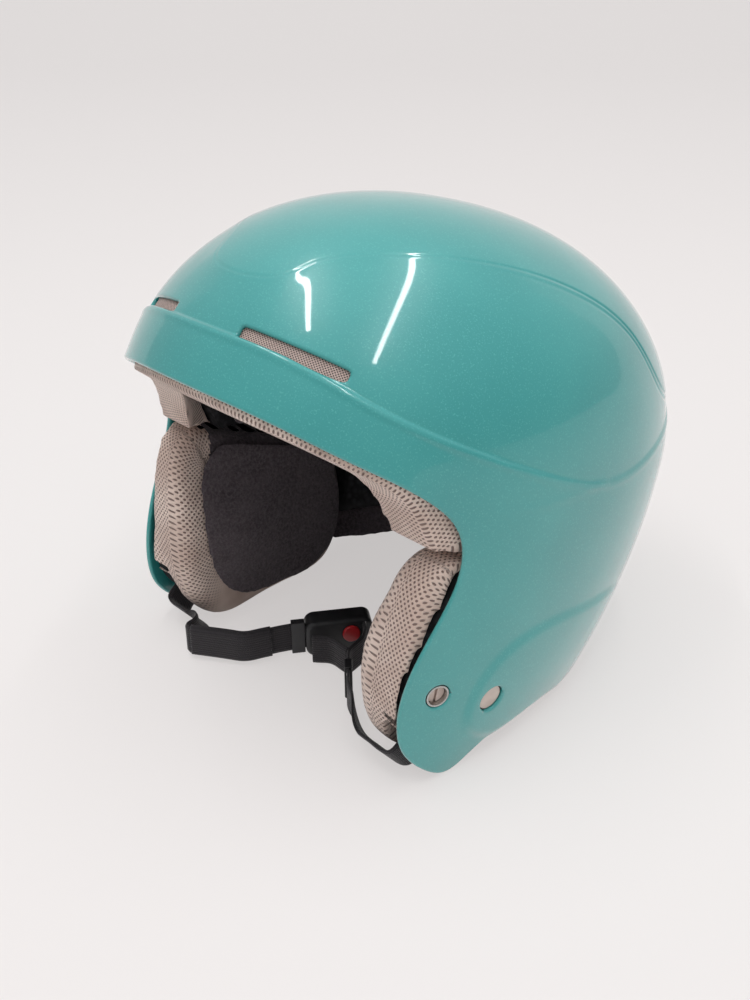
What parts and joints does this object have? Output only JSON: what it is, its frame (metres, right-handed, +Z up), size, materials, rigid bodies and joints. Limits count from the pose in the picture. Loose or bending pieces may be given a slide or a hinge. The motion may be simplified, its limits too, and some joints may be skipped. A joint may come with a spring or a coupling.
{
  "type": "ski helmet",
  "caption": "Full-shell ski race helmet with twin brow vents, mesh brow and cheek pads, plush interior, jaw sockets for a chin guard, a buckled chin strap and a rear goggle clip.",
  "frame": {"origin": "middle of the footprint, on the table", "axes": "-Y the way the face looks, +X the wearer's left, +Z up; the helmet leans back by about 15 degrees, standing on its ear lobes and nape"},
  "size_m": [0.2301, 0.277, 0.2285],
  "materials": {
    "gloss_shell": "glossy lacquer, teal",
    "impact_foam": "black moulded foam",
    "mesh_fabric": "beige spacer mesh",
    "plush": "black plush",
    "grille": "beige mesh screen",
    "beige_plastic": "beige moulded plastic",
    "black_plastic": "black moulded plastic",
    "webbing": "black webbing",
    "red_plastic": "red button",
    "steel": "plated steel"
  },
  "bodies": {
    "helmet": {"brow_pad": "mesh_fabric", "cheek_pad_left": "mesh_fabric", "cheek_pad_right": "mesh_fabric", "cheek_plate_left": "black_plastic", "cheek_plate_right": "black_plastic", "cheek_plush_left": "plush", "cheek_plush_right": "plush", "cheek_snaps_left": "black_plastic", "cheek_snaps_right": "black_plastic", "chin_guard_ferrule_left": "steel", "chin_guard_ferrule_right": "steel", "chin_guard_screw_left": "beige_plastic", "chin_guard_screw_right": "beige_plastic", "crown_pad": "plush", "goggle_clip_base": "black_plastic", "goggle_clip_pin": "steel", "goggle_clip_screws": "steel", "impact_liner": "impact_foam", "jaw_foam_left": "impact_foam", "jaw_foam_right": "impact_foam", "neck_roll": "plush", "occipital_pad": "plush", "outer_shell": "gloss_shell", "rivet_washer_left": "steel", "rivet_washer_right": "steel", "strap_rivet_left": "beige_plastic", "strap_rivet_right": "beige_plastic", "temple_pad_left": "plush", "temple_pad_right": "plush", "vent_mesh_left": "grille", "vent_mesh_right": "grille"},
    "chin_strap": {"chin_strap_left": "webbing", "chin_strap_right": "webbing", "chin_sleeve": "webbing", "buckle_body": "black_plastic", "buckle_tongue": "black_plastic"},
    "release_button": {"buckle_button": "red_plastic"},
    "keeper": {"strap_keeper": "black_plastic"},
    "clip_flap": {"goggle_clip_flap": "black_plastic"}
  },
  "joints": [
    {"name": "chin_strap_swing", "type": "hinge", "parent": "helmet", "child": "chin_strap", "pos_m": [0, -0.06312, 0.03509], "axis": [1, 0, 0], "range_deg": [0, 65]},
    {"name": "release_button_press", "type": "slide", "parent": "chin_strap", "child": "release_button", "axis": [-0.829, 0.5592, 0], "range_m": [0, 0.002], "stiffness_N_per_m": 400, "springref_m": -0.0005},
    {"name": "keeper_slide", "type": "slide", "parent": "chin_strap", "child": "keeper", "axis": [-0.7452, 0.6668, 0], "range_m": [-0.006, 0.006]},
    {"name": "goggle_clip_hinge", "type": "hinge", "parent": "helmet", "child": "clip_flap", "pos_m": [0, 0.13534, 0.06923], "axis": [1, 0, 0], "range_deg": [0, 100]}
  ]
}
